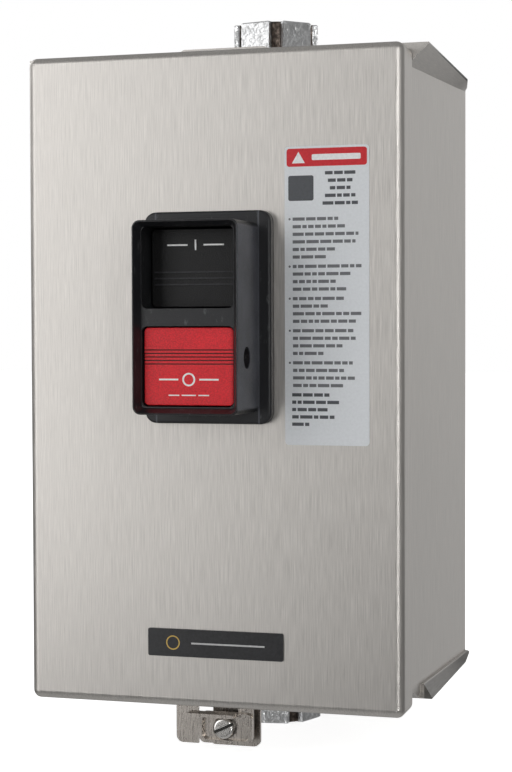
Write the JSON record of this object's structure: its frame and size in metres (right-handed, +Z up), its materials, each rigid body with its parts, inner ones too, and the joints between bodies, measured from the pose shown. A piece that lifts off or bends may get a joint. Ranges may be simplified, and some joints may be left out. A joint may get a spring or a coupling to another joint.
{
  "type": "magnetic motor starter",
  "caption": "Enclosed wall-mounted motor starter: stainless box with hook-on cover, recessed start and red stop push buttons, contactor and overload relay inside, conduit hubs top and bottom.",
  "frame": {"origin": "centre of the back face, on the wall plane", "axes": "+X right seen from the front, +Y into the wall, +Z up"},
  "size_m": [0.176, 0.196, 0.3219],
  "materials": {
    "stainless": "fine vertical brushed grain",
    "latch_steel": "tumbled, slightly warm",
    "black_plastic": "moulded, fine texture",
    "red_plastic": "moulded, grainy",
    "rubber": "matt",
    "label": "printed vinyl",
    "nameplate": "dark satin print",
    "zinc": "hammered die casting",
    "plated_steel": "zinc plated",
    "case_plastic": "moulded",
    "light_plastic": "moulded",
    "blue_plastic": "moulded",
    "laminated_iron": "laminated, ground faces",
    "copper": "bare copper and plated brass",
    "heater_alloy": "heat-tinted alloy",
    "spring_steel": "drawn wire"
  },
  "bodies": {
    "enclosure": {"arc_chamber": "case_plastic", "bimetal_strips": "heater_alloy", "body_wrap": "stainless", "bottom_end_plate": "stainless", "coil_bobbin": "light_plastic", "coil_terminals": "copper", "coil_winding": "copper", "contactor_base": "case_plastic", "contactor_front": "case_plastic", "device_screws": "plated_steel", "ground_lug": "copper", "ground_screw": "plated_steel", "heater_coils": "heater_alloy", "hub_bottom": "zinc", "hub_locknuts": "zinc", "hub_seals": "rubber", "hub_top": "zinc", "latch_bracket": "latch_steel", "line_terminals": "copper", "load_terminals": "copper", "magnet_core": "laminated_iron", "motor_screws": "plated_steel", "motor_terminals": "copper", "mounting_plate": "plated_steel", "plate_nuts": "plated_steel", "relay_case": "case_plastic", "relay_cover": "case_plastic", "reset_spring": "spring_steel", "return_springs": "spring_steel", "stab_strips": "copper", "standoffs": "plated_steel", "start_block": "case_plastic", "start_contact_spring": "spring_steel", "start_contacts": "copper", "terminal_screws": "plated_steel", "top_end_plate": "stainless"},
    "cover": {"cover_pan": "stainless", "cover_gasket": "rubber", "latch_plate": "latch_steel", "caution_label": "label", "nameplate": "nameplate", "operator_housing": "black_plastic", "operator_seal": "rubber", "operator_back_plate": "black_plastic", "operator_screws": "plated_steel", "start_button_spring": "spring_steel", "stop_button_spring": "spring_steel"},
    "captive_clip": {"screw_clip": "latch_steel"},
    "captive_screw": {"cover_screw": "latch_steel"},
    "start_push": {"start_button": "black_plastic"},
    "stop_push": {"stop_button": "red_plastic"},
    "start_pusher": {"start_plunger": "light_plastic"},
    "reset_pusher": {"reset_plunger": "blue_plastic"},
    "carrier": {"contact_carrier": "light_plastic", "armature": "laminated_iron", "moving_contacts": "copper", "contact_springs": "spring_steel"},
    "dial": {"current_dial": "light_plastic"},
    "trip_slider": {"trip_bar": "light_plastic"}
  },
  "joints": [
    {"name": "cover_swing", "type": "hinge", "parent": "enclosure", "child": "cover", "pos_m": [0, -0.1442, 0.13575], "axis": [-1, 0, 0], "range_deg": [0, 80]},
    {"name": "screw_advance", "type": "slide", "parent": "cover", "child": "captive_clip", "axis": [0, -1, 0], "range_m": [0, 0.0032]},
    {"name": "screw_turn", "type": "hinge", "parent": "captive_clip", "child": "captive_screw", "pos_m": [0.0008, -0.1485, -0.1475], "axis": [0, -1, 0], "range_deg": [0, 1440]},
    {"name": "start_press", "type": "slide", "parent": "cover", "child": "start_push", "axis": [0, 1, 0], "range_m": [0, 0.006], "stiffness_N_per_m": 400, "springref_m": -0.008, "deforming": ["start_button_spring"]},
    {"name": "stop_press", "type": "slide", "parent": "cover", "child": "stop_push", "axis": [0, 1, 0], "range_m": [0, 0.01], "stiffness_N_per_m": 300, "springref_m": -0.01, "deforming": ["stop_button_spring"]},
    {"name": "start_plunger_in", "type": "slide", "parent": "enclosure", "child": "start_pusher", "axis": [0, 1, 0], "range_m": [0, 0.0065], "stiffness_N_per_m": 150, "springref_m": -0.004, "deforming": ["start_contact_spring"]},
    {"name": "reset_plunger_in", "type": "slide", "parent": "enclosure", "child": "reset_pusher", "axis": [0, 1, 0], "range_m": [0, 0.0105], "stiffness_N_per_m": 150, "springref_m": -0.004, "deforming": ["reset_spring"]},
    {"name": "carrier_pull_in", "type": "slide", "parent": "enclosure", "child": "carrier", "axis": [0, 1, 0], "range_m": [0, 0.005], "stiffness_N_per_m": 1200, "springref_m": -0.004, "deforming": ["return_springs"]},
    {"name": "dial_turn", "type": "hinge", "parent": "enclosure", "child": "dial", "pos_m": [-0.016, -0.092, -0.022], "axis": [0, -1, 0], "range_deg": [0, 270]},
    {"name": "trip_slide", "type": "slide", "parent": "enclosure", "child": "trip_slider", "axis": [-1, 0, 0], "range_m": [0, 0.0025], "stiffness_N_per_m": 60, "springref_m": -0.001}
  ],
  "couplings": [
    {"joint": "screw_turn", "follows": "screw_advance", "rad_per_m": 7854},
    {"joint": "start_plunger_in", "follows": "start_press", "ratio": 1},
    {"joint": "reset_plunger_in", "follows": "stop_press", "ratio": 1}
  ]
}
